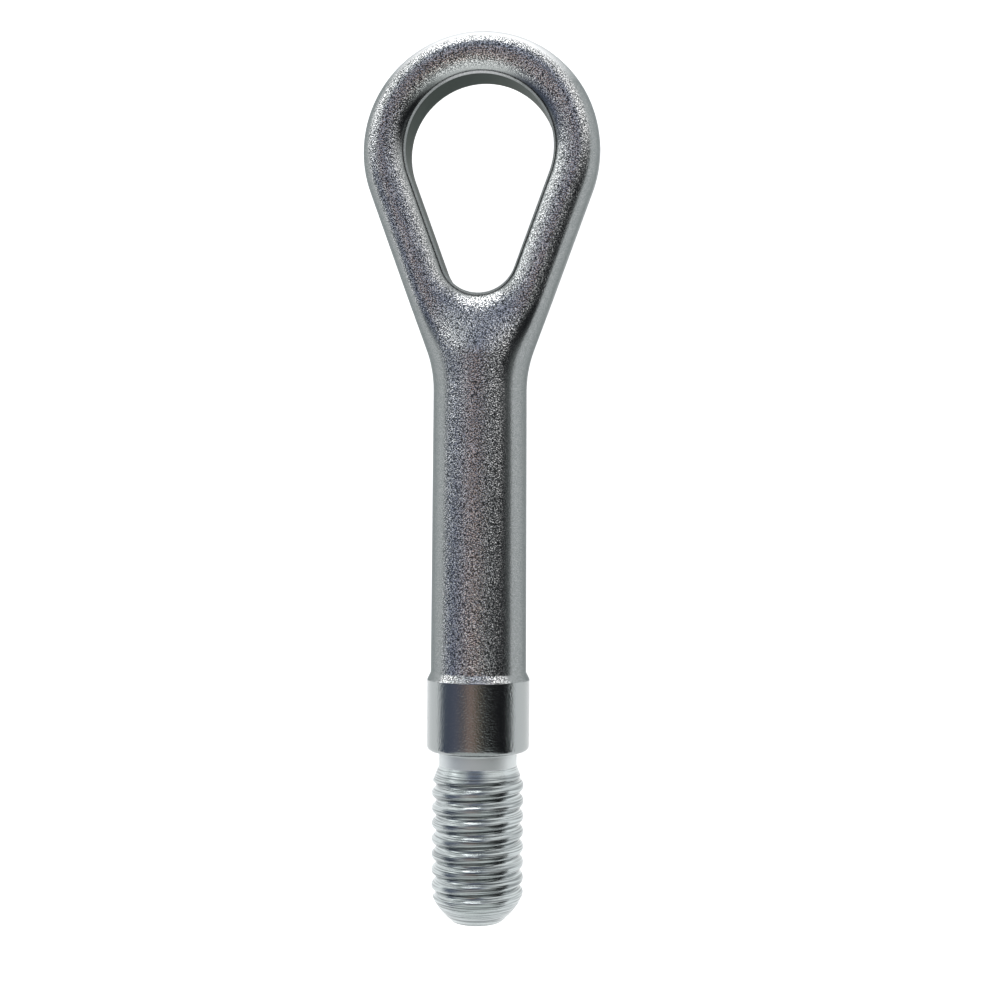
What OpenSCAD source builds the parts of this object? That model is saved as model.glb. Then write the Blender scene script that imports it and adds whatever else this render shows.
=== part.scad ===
// Screw-in tow eye, one forging: eye, web, shank, collar, neck and thread.
// It lies as it comes to rest. The thread's axis runs along Y and dips towards the eye at +Y, and the
// origin is on that axis in the plane of the shoulder under the collar.

/* [Eye] */
// Outer width of the eye
eye_w = 49.7; // [44:0.1:60]
// Width of the metal around the hole, seen from the front
band_w = 9.4; // [7:0.05:12]
// Thickness of the eye
eye_t = 13.6; // [10:0.1:18]
// Angle of each arm to the axis
arm_angle = 20; // [15:0.5:26]
// Radius of the narrow end of the hole
hole_end_r = 7.85; // [4:0.05:10]
// Distance from the shoulder to the centre of the eye
reach = 125; // [100:0.1:160]
// Radius of the hollow where an arm runs into the shank
hollow_r = 24.5; // [10:0.5:40]
// Length over which the web keeps the thickness of the shank
web_run = 6.5; // [0:0.5:12]
// Width of the rounding along the outer edge
outer_round = 4.4; // [2:0.1:5]
// Width of the rounding along the hole
inner_round = 5.2; // [2:0.1:6]
// Height of the wall that the punch left in the hole
punched_h = 7.6; // [4:0.1:9]
// Height of the land where the parting line was trimmed
land_h = 1.4; // [0.4:0.1:3]

/* [Shank] */
// Shank diameter where it meets the eye
shank_eye_d = 19.5; // [16:0.1:24]
// Shank diameter where it meets the collar
shank_d = 19.9; // [16:0.1:20.6]

/* [Collar] */
// Collar diameter
collar_d = 21.4; // [20.8:0.1:26]
// Collar length, with its edges
collar_len = 16.3; // [8:0.1:22]
// Length of the cone from the shank up to the collar
collar_lead = 1.5; // [0.5:0.1:3]
// Radius of the collar's edge at the shoulder
collar_edge_r = 1.1; // [0.3:0.1:1.2]

/* [Neck] */
// Neck diameter
neck_d = 16.2; // [13:0.1:17]
// Length of the plain neck between the shoulder and the thread
neck_len = 3; // [2:0.1:6]
// Radius in the corner between the neck and the shoulder
neck_corner_r = 0.6; // [0.2:0.1:0.8]

/* [Thread] */
// Thread diameter over the crests
thread_d = 19.1; // [18:0.1:24]
// Advance of the thread in one turn
thread_pitch = 3.18; // [2:0.02:5]
// Depth from crest to root
thread_depth = 0.85; // [0.5:0.05:1.8]
// Angle at which a crest passes the shoulder's plane
thread_start = 97; // [0:1:359]
// Length from the neck to the end of the tip
thread_len = 32.2; // [20:0.1:45]
// Length over which the thread rises out of the neck
run_in = 3.6; // [1:0.1:6]
// Length of the rounded tip
tip_len = 6; // [3:0.1:10]
// Diameter of the flat at the end
tip_d = 10.6; // [6:0.1:14]

/* [Hidden] */
$fn = 96;

steel = "#9a9fa0";
eye_r = eye_w / 2;
hole_r = eye_r - band_w;
half_t = eye_t / 2;
collar_r = collar_d / 2;
neck_r = neck_d / 2;
crest_r = thread_d / 2;
tip_r = tip_d / 2;

// The swept solids end just inside the turned ones, so that no two surfaces meet along a circle.
seam_step = 0.05;
seam_len = 0.5;

// Steps across half of the eye's outline: its arc, an arm, the rest of that arm, the hollow, the end
arc_steps = 14;
arm_steps = 5;
side_steps = 5;
hollow_steps = 4;
end_steps = 8;
// Steps from the hole to the outer edge
band_steps = 10;
// Steps round one turn of the thread, and along one pitch
turn_steps = 32;
pitch_steps = 7;
// Steps round the collar's edge and the neck's corner
edge_steps = 5;

function point_at(centre, r, angle) = centre + r * [cos(angle), sin(angle)];
function ease(t) = let (s = min(max(t, 0), 1)) s * s * (3 - 2 * s);

// The eye is drawn about its own centre with the shank towards -Y, and is the same on both sides.
// arm_out points out of an arm's side and arm_up along it, towards the top of the eye.
arm_out = [cos(arm_angle), -sin(arm_angle)];
arm_up = [sin(arm_angle), cos(arm_angle)];
bar_r = shank_eye_d / 2 - seam_step;
hollow_x = bar_r + hollow_r;
hollow_c = [hollow_x, (hollow_x * cos(arm_angle) - eye_r - hollow_r) / sin(arm_angle)];
hole_end_c = [0, -(hole_r - hole_end_r) / sin(arm_angle)];
web_top = hole_end_c.y - hole_end_r;
web_end = hollow_c.y - seam_len;

// How far a point lies inside the outer edge
function edge_gap(p) =
    let (q = [abs(p.x), p.y], up = q * arm_up)
    up >= 0 ? eye_r - norm(q)
    : up >= hollow_c * arm_up ? eye_r - q * arm_out
    : q.y >= hollow_c.y ? norm(q - hollow_c) - hollow_r
    : bar_r - q.x;

// How far a point lies outside the hole
function hole_gap(p) =
    let (q = [abs(p.x), p.y], up = q * arm_up)
    up >= 0 ? norm(q) - hole_r
    : up >= hole_end_c * arm_up ? q * arm_out - hole_r
    : norm(q - hole_end_c) - hole_end_r;

// Half the width of the outline at height y, below the arc
function outline_x(y) =
    let (rise = max(y - hollow_c.y, 0))
    rise < hollow_r * sin(arm_angle) ? hollow_x - sqrt(hollow_r ^ 2 - rise ^ 2)
    : (eye_r + y * sin(arm_angle)) / cos(arm_angle);

// A quarter of an ellipse, which is 1 at an edge and 0 where its rounding ends
function rounding(gap, run) =
    gap >= run ? 0 : 1 - sqrt(1 - (1 - max(gap, 0) / run) ^ 2);

// Half the thickness at a point: a plate with two rounded edges, which turns into a round bar
function plate_z(p) =
    let (outer = (half_t - land_h / 2) * rounding(edge_gap(p), outer_round))
    let (inner = (half_t - punched_h / 2) * rounding(hole_gap(p), inner_round))
    half_t - norm([outer, inner]);
function bar_z(p) = bar_r * sqrt(max(0, 1 - (p.x / outline_x(p.y)) ^ 2));
function eye_z(p) =
    let (t = ease((web_top - p.y) / (web_top - hollow_c.y - web_run)))
    (1 - t) * plate_z(p) + t * bar_z(p);

// Outer points down the right side, from the top of the eye to the middle of the web's end
arm_len = -(hole_end_c * arm_up);
side_len = -(hollow_c * arm_up) - arm_len;
outer_side = [
    for (i = [0 : arc_steps]) point_at([0, 0], eye_r, 90 - (90 + arm_angle) * i / arc_steps),
    for (i = [1 : arm_steps]) eye_r * arm_out - arm_up * arm_len * i / arm_steps,
    for (i = [1 : side_steps]) eye_r * arm_out - arm_up * (arm_len + side_len * i / side_steps),
    for (i = [1 : hollow_steps]) point_at(hollow_c, hollow_r, 180 - arm_angle * (1 - i / hollow_steps)),
    for (i = [0 : end_steps]) [bar_r * cos(90 * i / end_steps), web_end],
];

// The point on the hole that faces each of them
end_turn = 90 - arm_angle;
end_count = len(outer_side) - 1 - arc_steps - arm_steps;
inner_side = [
    for (i = [0 : arc_steps]) point_at([0, 0], hole_r, 90 - (90 + arm_angle) * i / arc_steps),
    for (i = [1 : arm_steps]) hole_r * arm_out - arm_up * arm_len * i / arm_steps,
    for (i = [1 : end_count]) point_at(hole_end_c, hole_end_r, -arm_angle - end_turn * i / end_count),
];

function both_sides(side) = [
    each side,
    for (i = [len(side) - 2 : -1 : 1]) [-side[i].x, side[i].y],
];
outer_loop = both_sides(outer_side);
inner_loop = both_sides(inner_side);

// Two triangles for the four corners a, b, c, d
function quad(a, b, c, d) = [[a, b, c], [a, c, d]];

module forged_eye() {
    count = len(outer_loop);
    row = band_steps + 1;
    flat = [
        for (i = [0 : count - 1], j = [0 : band_steps])
            let (t = (1 - cos(180 * j / band_steps)) / 2)
            inner_loop[i] + (outer_loop[i] - inner_loop[i]) * t
    ];
    upper = [for (p = flat) [p.x, p.y, eye_z(p)]];
    lower = [for (p = flat) [p.x, p.y, -eye_z(p)]];
    under = len(upper);
    faces = [
        for (i = [0 : count - 1])
            let (a = i * row, b = (i + 1) % count * row)
            each [
                for (j = [0 : band_steps - 1]) each quad(a + j, a + j + 1, b + j + 1, b + j),
                for (j = [0 : band_steps - 1])
                    each quad(under + b + j, under + b + j + 1, under + a + j + 1, under + a + j),
                each quad(a, b, under + b, under + a),
                each quad(b + band_steps, a + band_steps, under + a + band_steps, under + b + band_steps),
            ]
    ];
    translate([0, reach, 0])
        polyhedron(concat(upper, lower), faces);
}

// The turned parts are one profile of radius and height, from the neck up to the end of the shank
module turned_body() {
    edge_c = [collar_r - collar_edge_r, collar_edge_r];
    corner_c = [neck_r + neck_corner_r, -neck_corner_r];
    rotate([-90, 0, 0])
        rotate_extrude()
            polygon([
                [0, -neck_len],
                [neck_r, -neck_len],
                for (i = [0 : edge_steps]) point_at(corner_c, neck_corner_r, 180 - 90 * i / edge_steps),
                for (i = [0 : edge_steps]) point_at(edge_c, collar_edge_r, -90 + 90 * i / edge_steps),
                [collar_r, collar_len - collar_lead],
                [shank_d / 2, collar_len],
                [shank_eye_d / 2, shank_end],
                [0, shank_end],
            ]);
}

// Radius that the run-in and the tip leave at height z, where the tip's end is lowest
thread_low = -neck_len - thread_len;
thread_high = -neck_len + seam_len;
function blank_r(z) =
    let (rise = max(0, -neck_len - thread_pitch / pitch_steps - z) / run_in)
    let (fall = max(0, 1 - (z - thread_low) / tip_len))
    min(neck_r - seam_step + (crest_r - neck_r) * rise, crest_r - (crest_r - tip_r) * fall ^ 1.6);

// Radius of the rolled form: broad round crests and narrower round roots, right-handed
function rolled_r(z, angle) =
    let (turn = z / thread_pitch - (angle - thread_start) / 360)
    crest_r - thread_depth * ((1 - cos(360 * turn)) / 2) ^ 1.8;

module thread() {
    // The rows follow the helix, so a crest is one smooth line, and the ends are cut off flat.
    turns_down = floor(thread_low / thread_pitch + thread_start / 360);
    first_crest = thread_pitch * (turns_down - thread_start / 360);
    rows = pitch_steps * (ceil((thread_high - first_crest) / thread_pitch) + 1);
    near = thread_pitch / pitch_steps / 6;
    function row_z(i, k) =
        let (z = first_crest + thread_pitch * (k / pitch_steps - 1 + i / turn_steps))
        z < thread_low + near ? thread_low : z > thread_high - near ? thread_high : z;
    function id(i, k) =
        i < turn_steps ? i * (rows + 1) + k : min(k + pitch_steps, rows);
    points = [
        for (i = [0 : turn_steps - 1], k = [0 : rows])
            let (z = row_z(i, k), angle = 360 * i / turn_steps, r = min(blank_r(z), rolled_r(z, angle)))
            [r * cos(angle), r * sin(angle), z]
    ];
    faces = [
        for (i = [0 : turn_steps - 1], k = [0 : rows - 1])
            let (a = id(i, k), b = id(i + 1, k), c = id(i + 1, k + 1), d = id(i, k + 1))
            each [
                if (points[b].z < points[c].z) [a, c, b],
                if (points[a].z < points[d].z) [a, d, c],
            ],
        [for (i = [0 : turn_steps - 1]) id(i, 0)],
        [for (i = [turn_steps - 1 : -1 : 0]) id(i, rows)],
    ];
    rotate([-90, 0, 0])
        polyhedron(points, faces);
}

// Lying down, it rests on the collar's upper edge and on the web, where the web is still as thick as
// the shank, so its axis dips. The eye hangs clear of the floor, level between its two sides.
shank_end = reach + hollow_c.y;
rest_dip = atan((collar_r - shank_eye_d / 2) / (shank_end + web_run - collar_len + collar_lead));

module tow_eye() {
    color(steel)
        rotate([-rest_dip, 0, 0])
            union() {
                turned_body();
                forged_eye();
                thread();
            }
}

tow_eye();
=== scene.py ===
import math

import bpy
import numpy as np
from mathutils import Matrix, Vector


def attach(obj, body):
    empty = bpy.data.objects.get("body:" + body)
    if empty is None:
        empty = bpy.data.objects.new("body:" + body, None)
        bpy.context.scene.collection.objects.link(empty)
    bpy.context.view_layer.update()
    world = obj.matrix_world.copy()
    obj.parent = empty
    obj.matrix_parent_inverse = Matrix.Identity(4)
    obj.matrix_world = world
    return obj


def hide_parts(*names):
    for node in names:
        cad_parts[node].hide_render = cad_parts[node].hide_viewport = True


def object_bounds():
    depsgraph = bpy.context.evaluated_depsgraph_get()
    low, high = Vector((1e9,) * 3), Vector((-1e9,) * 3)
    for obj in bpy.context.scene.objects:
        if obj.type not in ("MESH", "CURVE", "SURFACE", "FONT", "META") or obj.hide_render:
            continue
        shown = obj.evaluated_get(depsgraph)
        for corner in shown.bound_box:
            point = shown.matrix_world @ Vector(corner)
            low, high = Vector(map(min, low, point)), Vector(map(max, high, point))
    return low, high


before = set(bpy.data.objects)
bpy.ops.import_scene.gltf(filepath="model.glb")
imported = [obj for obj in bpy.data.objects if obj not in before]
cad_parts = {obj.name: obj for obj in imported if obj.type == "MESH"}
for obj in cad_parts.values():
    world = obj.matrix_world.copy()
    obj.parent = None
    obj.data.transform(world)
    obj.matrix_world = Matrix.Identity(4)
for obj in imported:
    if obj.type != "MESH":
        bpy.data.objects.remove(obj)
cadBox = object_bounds()
print("frame loaded")

mm = 0.001


def fromHex(text):  # an sRGB hex colour as linear RGBA
    channels = [int(text[i:i + 2], 16) / 255 for i in (1, 3, 5)]
    linear = [c / 12.92 if c <= 0.04045 else ((c + 0.055) / 1.055) ** 2.4 for c in channels]
    return linear + [1.0]


def addNode(tree, kind, links=None, **settings):
    # links gives an input a value, another node's output, or a node, for its first output
    node = tree.nodes.new(kind)
    for name, value in settings.items():
        setattr(node, name, value)
    for socket, source in (links or {}).items():
        if isinstance(source, bpy.types.Node):
            source = source.outputs[0]
        if isinstance(source, bpy.types.NodeSocket):
            tree.links.new(source, node.inputs[socket])
        else:
            node.inputs[socket].default_value = source
    return node


# Sizes are in millimetres, as in the part, and y runs along the thread's axis from the shoulder
# towards the eye.
eye = {
    "width": 49.7,
    "band": 9.4,
    "thickness": 13.6,
    "armAngle": math.radians(20),
    "holeEndRadius": 7.85,
    "reach": 125.0,         # from the shoulder to the middle of the ring
    "hollowRadius": 24.5,   # where the arms sweep into the shank
    "webRun": 6.5,          # how far above the shank's end the web is already as thick as the shank
    "outerRound": 4.4,
    "innerRound": 5.2,
    "punchedHeight": 7.6,
    "landHeight": 1.4,      # what the trimming of the flash left standing at the parting line
    "arcSteps": 46,
    "armSteps": 16,
    "sideSteps": 14,
    "hollowSteps": 12,
    "endSteps": 28,
    "bandSteps": 44,
    "wallSteps": 6,
    "landSteps": 3,
}
bar = {
    "eyeEndRadius": 9.75,
    "collarEndRadius": 9.95,
    "collarRadius": 10.7,
    "collarLength": 16.3,
    "leadLength": 1.5,
    "edgeRadius": 1.1,
    "neckRadius": 8.1,
    "neckLength": 3.0,
    "neckCorner": 0.6,
    "softEdge": 0.12,            # what plating leaves of a turned edge
    "edgeRows": (0.4, 1, 2),     # rows that hold such an edge, in soft edges away from it
    "shoulderRows": (0.25, 0.6),
    "shankStep": 1.6,
    "leadSteps": 6,
    "collarSteps": 9,
    "edgeSteps": 10,
    "cornerSteps": 8,
}
threadForm = {
    "crestRadius": 9.55,
    "pitch": 3.18,
    "depth": 0.85,
    "rootPower": 1.8,       # above 1 the roots are narrower than the crests
    "start": math.radians(97),
    "length": 32.2,
    "runIn": 3.6,
    "tipLength": 6.0,
    "tipRadius": 5.3,
    "tipPower": 1.6,
    "tipRows": (0.96, 0.75, 0.5, 0.25),   # rows across the flat end, as shares of its radius
    "rowsPerPitch": 22,
}


def pointAt(centre, radius, angle):
    return np.array([centre[0] + radius * math.cos(angle), centre[1] + radius * math.sin(angle)])


def eyeLoops():
    # The right-hand halves of the outer edge and of the hole, from the top down, about the
    # ring's own middle, with as many points in the one as in the other
    a = eye["armAngle"]
    eyeR = eye["width"] / 2
    holeR = eyeR - eye["band"]
    armOut = np.array([math.cos(a), -math.sin(a)])
    armUp = np.array([math.sin(a), math.cos(a)])
    barR = bar["eyeEndRadius"]
    hollowX = barR + eye["hollowRadius"]
    hollowY = (hollowX * math.cos(a) - eyeR - eye["hollowRadius"]) / math.sin(a)
    hollowC = np.array([hollowX, hollowY])
    holeEndC = np.array([0.0, -(holeR - eye["holeEndRadius"]) / math.sin(a)])
    armLen = -(holeEndC @ armUp)
    sideLen = -(hollowC @ armUp) - armLen
    quarter = math.pi / 2
    outer, inner = [], []
    for i in range(eye["arcSteps"] + 1):
        angle = quarter - (quarter + a) * i / eye["arcSteps"]
        outer.append(pointAt((0, 0), eyeR, angle))
        inner.append(pointAt((0, 0), holeR, angle))
    for i in range(1, eye["armSteps"] + 1):
        down = armUp * armLen * i / eye["armSteps"]
        outer.append(eyeR * armOut - down)
        inner.append(holeR * armOut - down)
    for i in range(1, eye["sideSteps"] + 1):
        outer.append(eyeR * armOut - armUp * (armLen + sideLen * i / eye["sideSteps"]))
    for i in range(1, eye["hollowSteps"] + 1):
        angle = math.pi - a * (1 - i / eye["hollowSteps"])
        outer.append(pointAt(hollowC, eye["hollowRadius"], angle))
    for i in range(1, eye["endSteps"] + 1):
        outer.append(np.array([barR * math.cos(quarter * i / eye["endSteps"]), hollowC[1]]))
    endCount = len(outer) - len(inner)
    for i in range(1, endCount + 1):
        angle = -a - (quarter - a) * i / endCount
        inner.append(pointAt(holeEndC, eye["holeEndRadius"], angle))
    facts = dict(eyeR=eyeR, holeR=holeR, armOut=armOut, armUp=armUp, barR=barR,
                 hollowC=hollowC, holeEndC=holeEndC)
    return np.array(outer), np.array(inner), facts


def rounding(gap, run):  # a quarter ellipse, 1 at an edge and 0 where its rounding ends
    return 1 - np.sqrt(np.clip(1 - (1 - np.clip(gap / run, 0, 1)) ** 2, 0, 1))


def halfThickness(p, facts):
    # A plate with two rounded edges, which turns into a round bar along the web
    a = eye["armAngle"]
    halfT = eye["thickness"] / 2
    q = np.stack([np.abs(p[:, 0]), p[:, 1]], axis=1)
    up = q @ facts["armUp"]
    hollowC, holeEndC, barR = facts["hollowC"], facts["holeEndC"], facts["barR"]
    hollowR = eye["hollowRadius"]
    edgeGap = np.where(
        up >= 0, facts["eyeR"] - np.hypot(q[:, 0], q[:, 1]),
        np.where(up >= hollowC @ facts["armUp"], facts["eyeR"] - q @ facts["armOut"],
                 np.hypot(q[:, 0] - hollowC[0], q[:, 1] - hollowC[1]) - hollowR))
    holeGap = np.where(
        up >= 0, np.hypot(q[:, 0], q[:, 1]) - facts["holeR"],
        np.where(up >= holeEndC @ facts["armUp"], q @ facts["armOut"] - facts["holeR"],
                 np.hypot(q[:, 0], q[:, 1] - holeEndC[1]) - eye["holeEndRadius"]))
    outer = (halfT - eye["landHeight"] / 2) * rounding(edgeGap, eye["outerRound"])
    inner = (halfT - eye["punchedHeight"] / 2) * rounding(holeGap, eye["innerRound"])
    plate = halfT - np.hypot(outer, inner)
    rise = np.maximum(q[:, 1] - hollowC[1], 0)
    width = np.where(
        rise < hollowR * math.sin(a),
        hollowC[0] - np.sqrt(np.maximum(hollowR ** 2 - rise ** 2, 0)),
        (facts["eyeR"] + q[:, 1] * math.sin(a)) / math.cos(a))
    barZ = barR * np.sqrt(np.clip(1 - (q[:, 0] / np.maximum(width, 1e-6)) ** 2, 0, 1))
    webTop = holeEndC[1] - eye["holeEndRadius"]
    t = np.clip((webTop - q[:, 1]) / (webTop - hollowC[1] - eye["webRun"]), 0, 1)
    t = t * t * (3 - 2 * t)
    return (1 - t) * plate + t * barZ


def buildEye():
    # The eye's two faces, the punched wall of its hole and the land along its edge. It ends in
    # an open circle, where the bar goes on.
    outer, inner, facts = eyeLoops()
    half = len(outer)
    mirror = np.array([-1.0, 1.0])
    outerLoop = np.concatenate([outer, outer[-2:0:-1] * mirror])
    innerLoop = np.concatenate([inner, inner[-2:0:-1] * mirror])
    count = len(outerLoop)
    t = (1 - np.cos(np.pi * np.arange(eye["bandSteps"] + 1) / eye["bandSteps"])) / 2
    flat = innerLoop[:, None, :] + (outerLoop - innerLoop)[:, None, :] * t[None, :, None]
    row = len(t)
    flat = flat.reshape(-1, 2)
    height = halfThickness(flat, facts)
    points = [(x, y + eye["reach"], z) for (x, y), z in zip(flat, height)]
    points += [(x, y + eye["reach"], -z) for (x, y), z in zip(flat, height)]
    under = len(flat)
    endFirst = half - 1 - eye["endSteps"]  # the column where the web's end begins
    endLast = half - 1 + eye["endSteps"]

    def wallColumns(columns, parts, side):  # extra rows down the wall at the hole or the edge
        ids = {}
        for i in columns:
            x, y, z = points[i * row + side]
            first = len(points)
            for k in range(1, parts):
                points.append((x, y, z * (1 - 2 * k / parts)))
            ids[i] = [i * row + side, *range(first, len(points)), under + i * row + side]
        return ids

    edgeColumns = [i for i in range(count) if not endFirst < i < endLast]
    wall = wallColumns(range(count), eye["wallSteps"], 0)
    land = wallColumns(edgeColumns, eye["landSteps"], row - 1)
    faces, punched = [], []
    for i in range(count):
        n = (i + 1) % count
        for j in range(row - 1):
            a, b = i * row + j, n * row + j
            faces.append((a, a + 1, b + 1, b))
            faces.append((under + b, under + b + 1, under + a + 1, under + a))
        for k in range(eye["wallSteps"]):
            punched.append(len(faces))
            faces.append((wall[i][k], wall[n][k], wall[n][k + 1], wall[i][k + 1]))
        if not endFirst <= i < endLast:
            for k in range(eye["landSteps"]):
                faces.append((land[n][k], land[i][k], land[i][k + 1], land[n][k + 1]))
    over = [i * row + row - 1 for i in range(endFirst, endLast + 1)]
    back = [under + i * row + row - 1 for i in range(endLast - 1, endFirst, -1)]
    return points, faces, punched, over + back, facts["hollowC"][1] + eye["reach"]


def arcRows(centreR, centreY, radius, start, end, steps):  # (radius, y) round a turned corner
    angles = [math.radians(start + (end - start) * i / steps) for i in range(steps + 1)]
    return [(centreR + radius * math.cos(t), centreY + radius * math.sin(t)) for t in angles]


def blankRows(shankEnd):
    # The turned blank's profile as rows of (radius, y), from the web down to the tip
    r, lead, edge = bar["collarRadius"], bar["leadLength"], bar["softEdge"]
    near = bar["edgeRows"]
    rows = []
    count = int((shankEnd - bar["collarLength"]) / bar["shankStep"])
    for i in range(1, count):
        t = i / count
        rows.append((bar["eyeEndRadius"] + (bar["collarEndRadius"] - bar["eyeEndRadius"]) * t,
                     shankEnd + (bar["collarLength"] - shankEnd) * t))

    # The lead up to the collar, the collar and its rounded edge
    step = bar["collarEndRadius"]
    rows += [(step, bar["collarLength"] + 2 * edge), (step, bar["collarLength"] + edge)]
    slope = np.array([r - step, -lead]) / math.hypot(r - step, lead)
    foot, top = np.array([step, bar["collarLength"]]), np.array([r, bar["collarLength"] - lead])
    rows += [tuple(foot + slope * edge * k) for k in near]
    steps = bar["leadSteps"]
    rows += [tuple(foot + (top - foot) * k / steps) for k in range(2, steps - 1)]
    rows += [tuple(top - slope * edge * k) for k in reversed(near)]
    rows += [(r, top[1] - edge * k) for k in near]
    steps = bar["collarSteps"]
    rows += [(r, top[1] + (bar["edgeRadius"] - top[1]) * k / steps) for k in range(1, steps)]
    rim = r - bar["edgeRadius"]
    rows += arcRows(rim, bar["edgeRadius"], bar["edgeRadius"], 0, -90, bar["edgeSteps"])

    # The shoulder and the neck's corner, then the thread's blank from its run-in to the tip
    rows += [(rim - k, 0.0) for k in bar["shoulderRows"]]
    corner = bar["neckCorner"]
    rows += arcRows(bar["neckRadius"] + corner, -corner, corner, 90, 180, bar["cornerSteps"])
    crest, tipR = threadForm["crestRadius"], threadForm["tipRadius"]
    low = -bar["neckLength"] - threadForm["length"]
    count = int((-corner - low) / threadForm["pitch"] * threadForm["rowsPerPitch"])
    for y in np.linspace(-corner, low, count + 1)[1:]:
        rise = max(0, -bar["neckLength"] - y) / threadForm["runIn"]
        fall = max(0, 1 - (y - low) / threadForm["tipLength"])
        runIn = bar["neckRadius"] + (crest - bar["neckRadius"]) * rise
        tip = crest - (crest - tipR) * fall ** threadForm["tipPower"]
        rows.append((min(runIn, tip), y))
    rows += [(tipR * k, low) for k in threadForm["tipRows"]]
    return rows, low


def buildBlank():
    # One closed skin: the eye, then rings down the bar to a pole at the tip
    points, faces, punched, ring, shankEnd = buildEye()
    angles = np.arctan2([points[i][2] for i in ring], [points[i][0] for i in ring])
    rows, low = blankRows(shankEnd)
    for radius, y in rows:
        first = len(points)
        points += [(radius * math.cos(t), y, radius * math.sin(t)) for t in angles]
        below = list(range(first, len(points)))
        for i in range(len(ring)):
            n = (i + 1) % len(ring)
            faces.append((ring[i], below[i], below[n], ring[n]))
        ring = below
    points.append((0.0, low, 0.0))
    for i in range(len(ring)):
        faces.append((ring[i], len(points) - 1, ring[(i + 1) % len(ring)]))
    isPunched = np.zeros(len(faces), dtype=bool)
    isPunched[punched] = True
    return np.array(points) * mm, faces, isPunched


def restingDip():
    # It lies on the collar's upper edge and on the web, so its axis dips towards the eye
    restY = bar["collarLength"] - bar["leadLength"]
    webY = eye["reach"] + eyeLoops()[2]["hollowC"][1] + eye["webRun"]
    return math.atan((bar["collarRadius"] - bar["eyeEndRadius"]) / (webY - restY))


def rollThreadTree():
    # Presses a right-hand thread into the bar and gives each length of the bar its material, with
    # the painted shade and highlight that some of them carry
    tree = bpy.data.node_groups.new("rollThread", "GeometryNodeTree")
    tree.interface.new_socket("Blank", in_out="INPUT", socket_type="NodeSocketGeometry")
    for name in ("Pitch", "Crest Radius", "Depth", "Root Power", "Start",
                 "Thread Top", "Shoulder", "Collar Top"):
        tree.interface.new_socket(name, in_out="INPUT", socket_type="NodeSocketFloat")
    for name in ("Forged Finish And Side Shade", "Turned Finish", "Groove Satin And Painted Highlight", "Rolled Finish",
                 "Punched Wall Painted Shade"):
        tree.interface.new_socket(name, in_out="INPUT", socket_type="NodeSocketMaterial")
    tree.interface.new_socket("Part", in_out="OUTPUT", socket_type="NodeSocketGeometry")
    given = addNode(tree, "NodeGroupInput").outputs
    position = addNode(tree, "GeometryNodeInputPosition")
    x, y, z = addNode(tree, "ShaderNodeSeparateXYZ", {0: position}).outputs

    # How many turns of the thread a point is along it, and from that how deep it is rolled
    away = addNode(tree, "ShaderNodeMath", {0: z, 1: -1.0}, operation="MULTIPLY")
    angle = addNode(tree, "ShaderNodeMath", {0: away, 1: x}, operation="ARCTAN2")
    angle = addNode(tree, "ShaderNodeMath", {0: angle, 1: given["Start"]}, operation="SUBTRACT")
    around = addNode(tree, "ShaderNodeMath", {0: angle, 1: math.tau}, operation="DIVIDE")
    along = addNode(tree, "ShaderNodeMath", {0: y, 1: given["Pitch"]}, operation="DIVIDE")
    turns = addNode(tree, "ShaderNodeMath", {0: along, 1: around}, operation="SUBTRACT")
    wave = addNode(tree, "ShaderNodeMath", {0: turns, 1: math.tau}, operation="MULTIPLY")
    wave = addNode(tree, "ShaderNodeMath", {0: wave}, operation="COSINE")
    deep = addNode(tree, "ShaderNodeMath", {0: wave, 1: -0.5, 2: 0.5}, operation="MULTIPLY_ADD")
    deep = addNode(tree, "ShaderNodeMath", {0: deep, 1: given["Root Power"]}, operation="POWER")
    deep = addNode(tree, "ShaderNodeMath", {0: given["Depth"], 1: deep}, operation="MULTIPLY")
    rolled = addNode(tree, "ShaderNodeMath", {0: given["Crest Radius"], 1: deep},
                     operation="SUBTRACT")

    # A point outside that radius is pressed in to it
    xx = addNode(tree, "ShaderNodeMath", {0: x, 1: x}, operation="MULTIPLY")
    zz = addNode(tree, "ShaderNodeMath", {0: z, 1: z}, operation="MULTIPLY")
    radius = addNode(tree, "ShaderNodeMath", {0: xx, 1: zz}, operation="ADD")
    radius = addNode(tree, "ShaderNodeMath", {0: radius}, operation="SQRT")
    shrink = addNode(tree, "ShaderNodeMath", {0: radius, 1: rolled}, operation="MINIMUM")
    shrink = addNode(tree, "ShaderNodeMath", {0: shrink, 1: radius}, operation="DIVIDE")
    newX = addNode(tree, "ShaderNodeMath", {0: x, 1: shrink}, operation="MULTIPLY")
    newZ = addNode(tree, "ShaderNodeMath", {0: z, 1: shrink}, operation="MULTIPLY")
    pressed = addNode(tree, "ShaderNodeCombineXYZ", {0: newX, 1: y, 2: newZ})
    below = {name: addNode(tree, "FunctionNodeCompare", {0: y, 1: given[name]},
                           data_type="FLOAT", operation="LESS_THAN")
             for name in ("Thread Top", "Shoulder", "Collar Top")}
    part = addNode(tree, "GeometryNodeSetPosition", {
        "Geometry": given["Blank"], "Selection": below["Thread Top"], "Position": pressed})

    # Each material goes over the last, down to where it starts, and the punched wall's, with its
    # painted shade, comes last
    punched = addNode(tree, "GeometryNodeInputNamedAttribute", {"Name": "punched"},
                      data_type="BOOLEAN")
    part = addNode(tree, "GeometryNodeRealizeInstances", {0: part})
    for finish, where in (("Forged Finish And Side Shade", True), ("Turned Finish", below["Collar Top"]),
                          ("Groove Satin And Painted Highlight", below["Shoulder"]),
                          ("Rolled Finish", below["Thread Top"]), ("Punched Wall Painted Shade", punched)):
        part = addNode(tree, "GeometryNodeSetMaterial", {
            "Geometry": part, "Selection": where, "Material": given[finish]})
    addNode(tree, "NodeGroupOutput", {"Part": part})
    return tree
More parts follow.
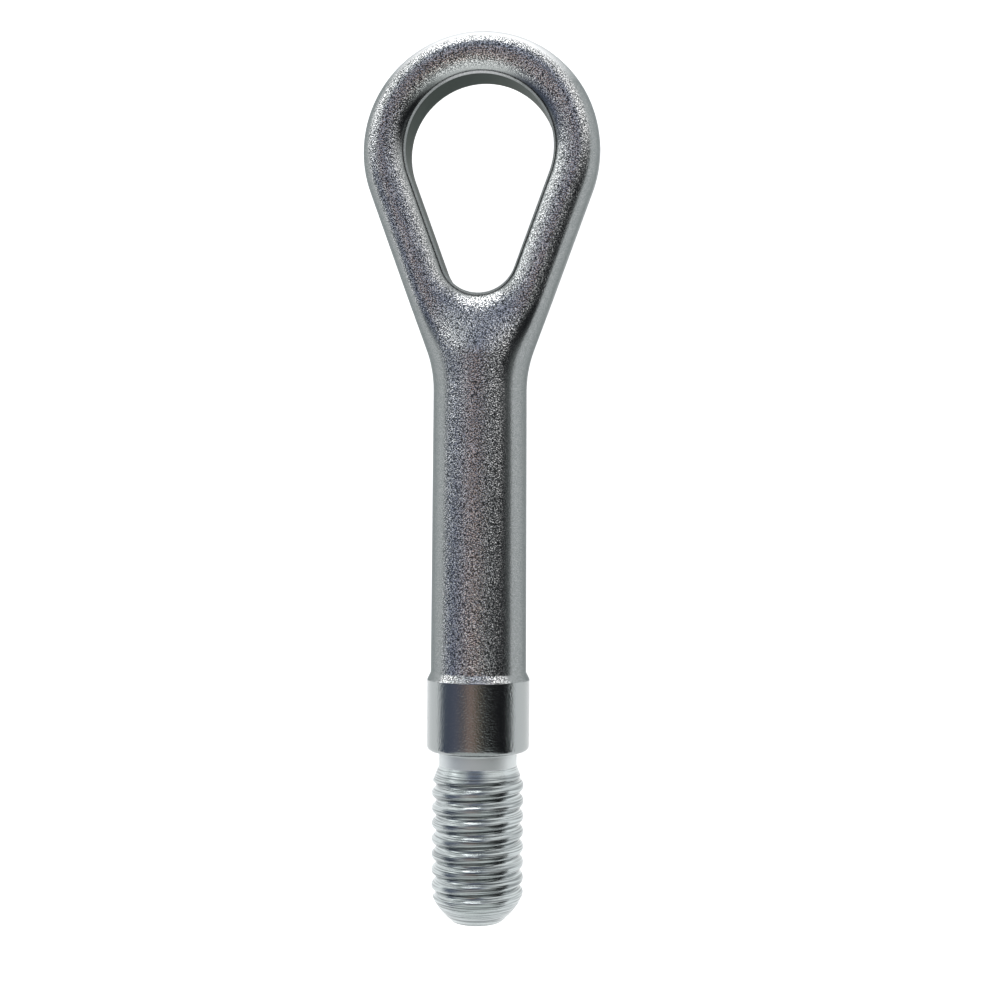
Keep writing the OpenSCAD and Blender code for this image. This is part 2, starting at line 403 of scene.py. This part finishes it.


# Bright zinc plate takes its look from the steel under it: shot dents sparkle, turned steel
# mirrors the room and a rolled thread is streaked along its turns. The forging's sides and the
# punched wall of the hole are darkened as painted shade, the punched wall being plain, and the
# groove below the shoulder is paled as a painted highlight. Widths, depths and places are in
# millimetres.
zinc = {
    "blastColour": "#ffffff",
    "blastRim": "#b6baba",
    "blastRoughness": 0.21,
    "dentWidth": 0.26,           # one dent of the shot
    "dentSlope": 0.18,           # how deep it is for its width
    "swellsPerDent": 0.45,       # the slower swell under the dents
    "swellShare": 0.3,           # its height, as a share of the dents'
    "pitColour": "#434749",
    "pitsPerDent": 1.3,
    "pitNoise": (0.47, 0.59),    # the noise between which a dark pit turns into a bright point
    # painted shade: the darker colour of the sides, for the shaded floor that they mirror
    "sideShadeColour": "#7c8080",
    "sideDents": 0.12,           # the share of the dents that the trimmed, smooth sides keep
    "eyeSideTop": 6.3,           # how far above the parting line those sides end
    "barSideTop": 8.4,
    "webFrom": 80.0,             # from the shoulder, where the bar's height turns into the eye's
    "webTo": 93.0,
    "sideFade": 0.14,            # the share of that height over which they fade
    "sideShadeEnd": 138.0,          # from the shoulder, beyond which the sides lose their painted shade and keep the bright plate
    "sideShadeEndFade": 9.0,
    "turnedColour": "#939797",
    "turnedRoughness": 0.17,
    "turnedLine": 0.11,          # between two marks of the turning tool
    "turnedRun": 25.0,           # how far a mark runs before it changes
    "turnedDepth": 0.006,        # how deep the tool cut it
    "plateGrain": 0.35,          # much coarser than the plate's real grain, so that it shows
    "plateDepth": 0.045,
    "rolledColour": "#b0b6b6",
    "rolledRoughness": 0.2,
    "rolledLine": 0.19,          # between two streaks
    "rolledRun": 11.1,
    "rolledDepth": 0.09,         # deeper than the real streaks, so that they show
    "streakColour": "#767b7c",
    "streakNoise": (0.4, 0.56),  # the noise between which a dull streak turns into bright plate
    # painted highlight: the groove's pale colour stands in for the light band that it would mirror
    "grooveHighlightColour": "#d6dada",
    "neckRoughness": 0.6,
    # painted shade: the punched wall's colour is darkened for the shade in the hole that it mirrors
    "punchedShadeColour": "#303533",
    "punchedRim": "#c6cac8",
    "punchedRoughness": 0.4,
}
axisDip = restingDip()


def zincMaterial(name, colour, roughness, rim=None):
    material = bpy.data.materials.new(name)
    material.use_nodes = True
    tree = material.node_tree
    tree.nodes.clear()
    place = addNode(tree, "ShaderNodeTexCoord").outputs["Object"]
    surface = addNode(tree, "ShaderNodeBsdfPrincipled", {
        "Metallic": 1.0, "Base Color": fromHex(zinc[colour]), "Roughness": zinc[roughness]})
    if rim:  # the colour of what it mirrors at a glancing angle
        surface.inputs["Specular Tint"].default_value = fromHex(zinc[rim])
    addNode(tree, "ShaderNodeOutputMaterial", {"Surface": surface})
    return material, tree, place, surface


def blastedZincWithPaintedSideShade():
    # Round dents, and bright points where the rims between them stand up. The sides, which the
    # trimming of the flash rubbed smooth, are plainer, and their colour is darkened as painted
    # shade, the shaded floor that they mirror; towards the top of the ring that painted shade fades
    # out.
    material, tree, place, surface = zincMaterial(
        "brightZincOnShotBlastedForgingWithPaintedSideShade", "blastColour", "blastRoughness", "blastRim")
    width = zinc["dentWidth"] * mm

    # How much of the blasting a place keeps, and how little painted shade it gets, by its height
    # above the parting line
    y = addNode(tree, "ShaderNodeSeparateXYZ", {0: place}).outputs[1]
    upright = (0, math.sin(axisDip), math.cos(axisDip))
    above = addNode(tree, "ShaderNodeVectorMath", {0: place, 1: upright}, operation="DOT_PRODUCT")
    above = addNode(tree, "ShaderNodeMath", {0: above.outputs["Value"]}, operation="ABSOLUTE")
    sideTop = addNode(tree, "ShaderNodeMapRange", {
        "Value": y, "From Min": zinc["webFrom"] * mm, "From Max": zinc["webTo"] * mm,
        "To Min": zinc["barSideTop"] * mm, "To Max": zinc["eyeSideTop"] * mm})
    share = addNode(tree, "ShaderNodeMath", {0: above, 1: sideTop}, operation="DIVIDE")
    blastedAndUnshaded = addNode(tree, "ShaderNodeMapRange", {
        "Value": share, "From Min": 1 - zinc["sideFade"], "From Max": 1.0,
        "To Min": zinc["sideDents"]})

    dents = addNode(tree, "ShaderNodeTexVoronoi", {"Vector": place, "Scale": 1 / width})
    swell = addNode(tree, "ShaderNodeTexNoise", {
        "Vector": place, "Scale": zinc["swellsPerDent"] / width, "Detail": 2.0})
    height = addNode(tree, "ShaderNodeMath", {
        0: swell, 1: zinc["swellShare"], 2: dents.outputs["Distance"]}, operation="MULTIPLY_ADD")
    bump = addNode(tree, "ShaderNodeBump", {
        "Height": height, "Strength": blastedAndUnshaded, "Distance": zinc["dentSlope"] * width})
    tree.links.new(bump.outputs[0], surface.inputs["Normal"])

    pits = addNode(tree, "ShaderNodeTexNoise", {
        "Vector": place, "Scale": zinc["pitsPerDent"] / width, "Detail": 1.0})
    point = addNode(tree, "ShaderNodeMapRange", {
        "Value": pits, "From Min": zinc["pitNoise"][0], "From Max": zinc["pitNoise"][1]})
    colour = addNode(tree, "ShaderNodeMix", {
        0: point, 6: fromHex(zinc["pitColour"]), 7: fromHex(zinc["blastColour"])}, data_type="RGBA")
    # The sides' painted shade gives way to the bright plate towards the top of the ring, a painted
    # lightening for the lit floor mirrored there
    bright = addNode(tree, "ShaderNodeMapRange", {
        "Value": y, "From Min": zinc["sideShadeEnd"] * mm,
        "From Max": (zinc["sideShadeEnd"] + zinc["sideShadeEndFade"]) * mm})
    sides = addNode(tree, "ShaderNodeMix", {
        0: bright, 6: fromHex(zinc["sideShadeColour"]), 7: fromHex(zinc["blastColour"])},
        data_type="RGBA")
    # Where the blasting is rubbed off, the painted shade of the sides takes the place of the grain
    colour = addNode(tree, "ShaderNodeMix", {
        0: blastedAndUnshaded, 6: sides.outputs[2], 7: colour.outputs[2]}, data_type="RGBA")
    tree.links.new(colour.outputs[2], surface.inputs["Base Color"])
    return material


def fineLines(tree, place, spacing, run):
    # Fine lines round the axis, which lies along y, as noise that is drawn out across y
    across = 1 / (run * mm)
    stretch = addNode(tree, "ShaderNodeVectorMath", {
        0: place, 1: (across, 1 / (spacing * mm), across)}, operation="MULTIPLY")
    return addNode(tree, "ShaderNodeTexNoise", {"Vector": stretch, "Scale": 1.0, "Detail": 2.0})


def turnedZinc():
    # A near mirror with the fine rings that the turning tool left and a trace of grain in the plate
    material, tree, place, surface = zincMaterial(
        "brightZincOnTurnedSteel", "turnedColour", "turnedRoughness")
    lines = fineLines(tree, place, zinc["turnedLine"], zinc["turnedRun"])
    rings = addNode(tree, "ShaderNodeBump", {
        "Height": lines, "Strength": 1.0, "Distance": zinc["turnedDepth"] * mm})
    grain = addNode(tree, "ShaderNodeTexNoise", {
        "Vector": place, "Scale": 1 / (zinc["plateGrain"] * mm), "Detail": 1.0})
    bump = addNode(tree, "ShaderNodeBump", {
        "Height": grain, "Strength": 1.0, "Distance": zinc["plateDepth"] * mm, "Normal": rings})
    tree.links.new(bump.outputs[0], surface.inputs["Normal"])
    return material


def rolledZinc():
    # Soft and bright, with streaks along the turns where the rolling die slid
    material, tree, place, surface = zincMaterial(
        "brightZincOnRolledThread", "rolledColour", "rolledRoughness")
    lines = fineLines(tree, place, zinc["rolledLine"], zinc["rolledRun"])
    bump = addNode(tree, "ShaderNodeBump", {
        "Height": lines, "Strength": 1.0, "Distance": zinc["rolledDepth"] * mm})
    tree.links.new(bump.outputs[0], surface.inputs["Normal"])
    slid = addNode(tree, "ShaderNodeMapRange", {
        "Value": lines, "From Min": zinc["streakNoise"][0], "From Max": zinc["streakNoise"][1]})
    colour = addNode(tree, "ShaderNodeMix", {
        0: slid, 6: fromHex(zinc["streakColour"]), 7: fromHex(zinc["rolledColour"])},
        data_type="RGBA")
    tree.links.new(colour.outputs[2], surface.inputs["Base Color"])
    return material


def punchedWallWithPaintedShade():
    # The sheared wall of the hole: plain, and its colour darkened as painted shade, the shade of
    # the hole that it mirrors
    return zincMaterial("punchedWallZincWithPaintedShade", "punchedShadeColour", "punchedRoughness",
                        "punchedRim")[0]


def satinGrooveWithPaintedHighlight():
    # The groove below the shoulder, cut with a coarse feed, so its plate is satin; its colour is
    # paled as a painted highlight, the light band that a wider hollow there would mirror
    return zincMaterial("satinZincInGrooveWithPaintedHighlight", "grooveHighlightColour", "neckRoughness")[0]


def makeTowEye():
    points, faces, punched = buildBlank()
    mesh = bpy.data.meshes.new("blank")
    mesh.from_pydata(points.tolist(), [], faces)
    mesh.attributes.new("punched", "BOOLEAN", "FACE").data.foreach_set("value", punched)
    mesh.shade_smooth()
    blank = bpy.data.objects.new("blank", mesh)
    bpy.context.scene.collection.objects.link(blank)
    tree = rollThreadTree()
    modifier = blank.modifiers.new("rollThread", "NODES")
    modifier.node_group = tree
    values = {
        "Pitch": threadForm["pitch"] * mm,
        "Crest Radius": threadForm["crestRadius"] * mm,
        "Depth": threadForm["depth"] * mm,
        "Root Power": threadForm["rootPower"],
        "Start": threadForm["start"],
        "Thread Top": -bar["neckLength"] * mm,
        "Shoulder": -bar["neckCorner"] * 0.5 * mm,
        "Collar Top": (bar["collarLength"] - bar["leadLength"] - 0.5 * bar["softEdge"]) * mm,
        "Forged Finish And Side Shade": blastedZincWithPaintedSideShade(),
        "Turned Finish": turnedZinc(),
        "Groove Satin And Painted Highlight": satinGrooveWithPaintedHighlight(),
        "Rolled Finish": rolledZinc(),
        "Punched Wall Painted Shade": punchedWallWithPaintedShade(),
    }
    for item in tree.interface.items_tree:
        if item.in_out == "INPUT" and item.name in values:
            modifier[item.identifier] = values[item.name]
    bpy.context.view_layer.update()
    depsgraph = bpy.context.evaluated_depsgraph_get()
    finished = bpy.data.meshes.new_from_object(blank.evaluated_get(depsgraph))
    bpy.data.objects.remove(blank)
    finished.transform(Matrix.Rotation(-axisDip, 4, "X"))
    piece = bpy.data.objects.new("zincPlatedTowEye", finished)
    bpy.context.scene.collection.objects.link(piece)
    return piece


towEye = makeTowEye()
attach(towEye, "root")
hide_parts("tow_eye")
print("tow eye made:", len(towEye.data.polygons), "faces")

paleFloor = {
    "size": 6.0,         # metres
    "colour": "#f2f2f2",
    "glow": 0.9,         # with what the lamps give, this makes the floor white
}


def makeFloor():
    half = paleFloor["size"] / 2
    z = min(corner[2] for corner in cadBox)
    corners = [(-half, -half, z), (half, -half, z), (half, half, z), (-half, half, z)]
    mesh = bpy.data.meshes.new("floor")
    mesh.from_pydata(corners, [], [(0, 1, 2, 3)])
    floor = bpy.data.objects.new("floor", mesh)
    bpy.context.scene.collection.objects.link(floor)
    material = bpy.data.materials.new("paleFloor")
    material.use_nodes = True
    tree = material.node_tree
    tree.nodes.clear()
    rays = addNode(tree, "ShaderNodeLightPath").outputs
    seen = addNode(tree, "ShaderNodeMath", {0: rays["Is Camera Ray"], 1: rays["Is Glossy Ray"]},
                   operation="MAXIMUM")
    seen = addNode(tree, "ShaderNodeMath", {0: seen, 1: rays["Is Transmission Ray"]},
                   operation="MAXIMUM")
    strength = addNode(tree, "ShaderNodeMath", {0: seen, 1: paleFloor["glow"]},
                       operation="MULTIPLY")
    surface = addNode(tree, "ShaderNodeBsdfDiffuse", {"Color": fromHex(paleFloor["colour"])})
    glow = addNode(tree, "ShaderNodeEmission", {"Strength": strength})
    both = addNode(tree, "ShaderNodeAddShader", {0: surface, 1: glow})
    addNode(tree, "ShaderNodeOutputMaterial", {"Surface": both})
    mesh.materials.append(material)


makeFloor()

studio = {
    "cameraTarget": (4.5, 52.0, 0.0),  # mm
    "cameraDistance": 312.0,
    "cameraLean": math.radians(6.5),   # towards +X
    "cameraTurn": math.radians(0.25),
    "viewWidth": 208.2,                # mm across the picture at the target
    "sensorWidth": 36.0,               # mm
    "clipStart": 0.01,                 # metres
}


def makeCamera():
    camera = bpy.data.objects.new("camera", bpy.data.cameras.new("camera"))
    bpy.context.scene.collection.objects.link(camera)
    bpy.context.scene.camera = camera
    camera.data.sensor_width = studio["sensorWidth"]
    camera.data.lens = studio["sensorWidth"] * studio["cameraDistance"] / studio["viewWidth"]
    camera.data.clip_start = studio["clipStart"]
    lean = Matrix.Rotation(studio["cameraLean"], 4, "Y")
    turned = lean @ Matrix.Rotation(studio["cameraTurn"], 4, "Z")
    target = Matrix.Translation(Vector(studio["cameraTarget"]) * mm)
    back = Matrix.Translation((0, 0, studio["cameraDistance"] * mm))
    camera.matrix_world = target @ turned @ back


makeCamera()
print("camera placed")

# The room that the plate mirrors: first its colours across the bar, from the left (0) to the
# right (1), then the colours over them towards the two ends of the bar. Each of those has the
# range of y over which it comes in and, where it doesn't fill the whole width, the range of x or
# of the distance to either side.
room = {
    "strength": 1.3,
    "across": [
        (0.0, "#ccd0d2"), (0.022, "#5e6778"), (0.15, "#6a6e82"), (0.28, "#776f72"),
        (0.41, "#b0948a"), (0.55, "#7d7163"), (0.67, "#3d3d38"), (0.77, "#161716"),
        (0.97, "#1d1e22"), (1.0, "#8c8f8f"),
    ],
    "ends": [
        ("#7b8294", (0.02, 0.22), "either side", (0.7, 0.4)),
        ("#ffffff", (0.15, 0.33), "x", (0.2, 0.5)),
        ("#e4e8e8", (0.13, 0.33), "x", (-0.25, -0.5)),
        ("#e2e6e5", (-0.2, -0.42), "either side", (0.8, 0.5)),
        ("#fafcfc", (0.8, 0.96), None, None),
    ],
    "seenColour": "#ffffff",  # what a view from the side sees past the floor's far edge
}


def makeWorld():
    world = bpy.data.worlds.new("room")
    bpy.context.scene.world = world
    world.use_nodes = True
    tree = world.node_tree
    tree.nodes.clear()
    direction = addNode(tree, "ShaderNodeTexCoord").outputs["Generated"]
    x, y = addNode(tree, "ShaderNodeSeparateXYZ", {0: direction}).outputs[:2]
    across = addNode(tree, "ShaderNodeMath", {0: x, 1: 0.5, 2: 0.5}, operation="MULTIPLY_ADD")
    ramp = addNode(tree, "ShaderNodeValToRGB", {"Fac": across})
    elements = ramp.color_ramp.elements
    while len(elements) < len(room["across"]):
        elements.new(0.5)
    for element, (at, colour) in zip(elements, room["across"]):
        element.position = at
        element.color = fromHex(colour)
    aside = addNode(tree, "ShaderNodeMath", {0: x}, operation="ABSOLUTE")
    ways = {"x": x, "either side": aside}
    colour = ramp.outputs[0]
    for endColour, (yFrom, yTo), way, span in room["ends"]:
        share = addNode(tree, "ShaderNodeMapRange", {
            "Value": y, "From Min": yFrom, "From Max": yTo})
        if way:
            part = addNode(tree, "ShaderNodeMapRange", {
                "Value": ways[way], "From Min": span[0], "From Max": span[1]})
            share = addNode(tree, "ShaderNodeMath", {0: share, 1: part}, operation="MULTIPLY")
        colour = addNode(tree, "ShaderNodeMix", {0: share, 6: colour, 7: fromHex(endColour)},
                         data_type="RGBA").outputs[2]
    mirrored = addNode(tree, "ShaderNodeBackground", {
        "Color": colour, "Strength": room["strength"]})
    seen = addNode(tree, "ShaderNodeBackground", {
        "Color": fromHex(room["seenColour"]), "Strength": 1.0})
    isSeen = addNode(tree, "ShaderNodeLightPath").outputs["Is Camera Ray"]
    back = addNode(tree, "ShaderNodeMixShader", {0: isSeen, 1: mirrored, 2: seen})
    addNode(tree, "ShaderNodeOutputWorld", {"Surface": back})


makeWorld()

# Two windows, in metres and watts, which face the web
lampTarget = (0, 0.06, 0)
lamps = [
    {"name": "windowLight", "place": (-0.2, 1.0, 0.24), "size": (0.5, 0.22), "watts": 1.7},
    {"name": "sideWindowLight", "place": (-0.8, 0.55, 0.3), "size": (0.3, 0.4), "watts": 0.55},
]
for lamp in lamps:
    light = bpy.data.lights.new(lamp["name"], "AREA")
    light.shape = "RECTANGLE"
    light.size, light.size_y = lamp["size"]
    light.energy = lamp["watts"]
    box = bpy.data.objects.new(lamp["name"], light)
    bpy.context.scene.collection.objects.link(box)
    place = Vector(lamp["place"])
    facing = (Vector(lampTarget) - place).to_track_quat("-Z", "Y").to_matrix().to_4x4()
    box.matrix_world = Matrix.Translation(place) @ facing

scene = bpy.context.scene
scene.view_settings.view_transform = "Standard"
print("room lit")
